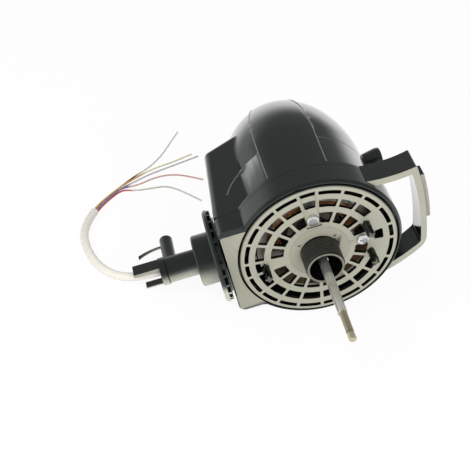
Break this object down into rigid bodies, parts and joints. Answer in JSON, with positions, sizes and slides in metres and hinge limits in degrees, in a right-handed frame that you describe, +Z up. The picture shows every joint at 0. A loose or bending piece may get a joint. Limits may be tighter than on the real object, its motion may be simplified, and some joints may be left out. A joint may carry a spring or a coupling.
{
  "type": "fan motor head",
  "caption": "Motor head of a fan lying on its side: slotted front cover, threaded boss, shaft, domed casing with a carry handle, oscillation knob, swivel neck and cable",
  "frame": {"origin": "on the shaft axis, at the front face of the slotted cover, where the threaded boss starts", "axes": "+Z up as the head lies on its side; -Y along the shaft towards its tip; +X to the carry handle's side, away from the neck"},
  "size_m": [0.2714, 0.3525, 0.1414],
  "materials": {
    "black_casing": "moulded, gloss black",
    "boss_plastic": "moulded black with a fine thread",
    "grip_rubber": "soft moulded grip",
    "knob_plastic": "moulded black",
    "zinc_screw": "bright zinc plate",
    "ground_steel": "ground steel shaft",
    "steel_turned": "turned steel",
    "cast_alloy": "die cast, grey",
    "bearing_bronze": "sintered bronze",
    "core_steel": "stacked laminations, varnished",
    "copper_winding": "enamelled copper wire, wound and laced",
    "gear_plastic": "natural acetal",
    "neck_plastic": "moulded black",
    "sheath_vinyl": "cream vinyl sheath",
    "core_grey_vinyl": "grey vinyl insulation",
    "core_yellow_vinyl": "yellow vinyl insulation",
    "core_red_vinyl": "red vinyl insulation",
    "core_pale_vinyl": "pale grey vinyl insulation"
  },
  "bodies": {
    "neck": {"swivel_post": "neck_plastic", "retaining_ring": "steel_turned", "swivel_washer": "neck_plastic", "swivel_flange": "neck_plastic", "neck_collar": "neck_plastic", "neck_stem": "neck_plastic", "cable_sheath": "sheath_vinyl", "core_grey_long": "core_grey_vinyl", "core_yellow": "core_yellow_vinyl", "core_grey": "core_grey_vinyl", "core_red": "core_red_vinyl", "core_pale": "core_pale_vinyl"},
    "head": {"front_cover": "black_casing", "threaded_boss": "boss_plastic", "cover_screws": "zinc_screw", "front_shell": "black_casing", "rear_shell": "black_casing", "carry_handle": "black_casing", "handle_pad": "grip_rubber", "front_bracket": "cast_alloy", "rear_bracket": "cast_alloy", "front_bearing": "bearing_bronze", "rear_bearing": "bearing_bronze", "stator_core": "core_steel", "front_windings": "copper_winding", "rear_windings": "copper_winding", "motor_bolts": "zinc_screw", "gearbox_case": "gear_plastic", "gearbox_lid": "gear_plastic", "gearbox_screws": "zinc_screw", "rear_screw": "zinc_screw"},
    "rotor": {"motor_shaft": "ground_steel", "rotor_core": "core_steel", "front_end_ring": "cast_alloy", "rear_end_ring": "cast_alloy", "worm": "steel_turned"},
    "wheel": {"worm_wheel": "gear_plastic", "wheel_spindle": "steel_turned", "crank": "steel_turned"},
    "link": {"drive_link": "steel_turned"},
    "knob": {"knob": "knob_plastic", "knob_stem": "steel_turned"}
  },
  "joints": [
    {"name": "head_swing", "type": "hinge", "parent": "neck", "child": "head", "pos_m": [-0.06725, 0.028, -0.02965], "axis": [0.915, 0, 0.4034], "range_deg": [-30, 30]},
    {"name": "rotor_spin", "type": "hinge", "parent": "head", "child": "rotor", "pos_m": [0, 0, 0], "axis": [0, -1, 0], "continuous": true},
    {"name": "wheel_spin", "type": "hinge", "parent": "head", "child": "wheel", "pos_m": [0.00504, 0.104, -0.01144], "axis": [0.915, 0, 0.4034], "continuous": true},
    {"name": "link_pivot", "type": "hinge", "parent": "wheel", "child": "link", "pos_m": [0.00504, 0.098, -0.01144], "axis": [0.915, 0, 0.4034], "continuous": true},
    {"name": "knob_slide", "type": "slide", "parent": "head", "child": "knob", "axis": [0.915, 0, 0.4034], "range_m": [0, 0.008]}
  ],
  "couplings": [
    {"joint": "wheel_spin", "follows": "rotor_spin", "ratio": 0.045455},
    {"joint": "link_pivot", "follows": "rotor_spin", "ratio": -0.045455}
  ]
}
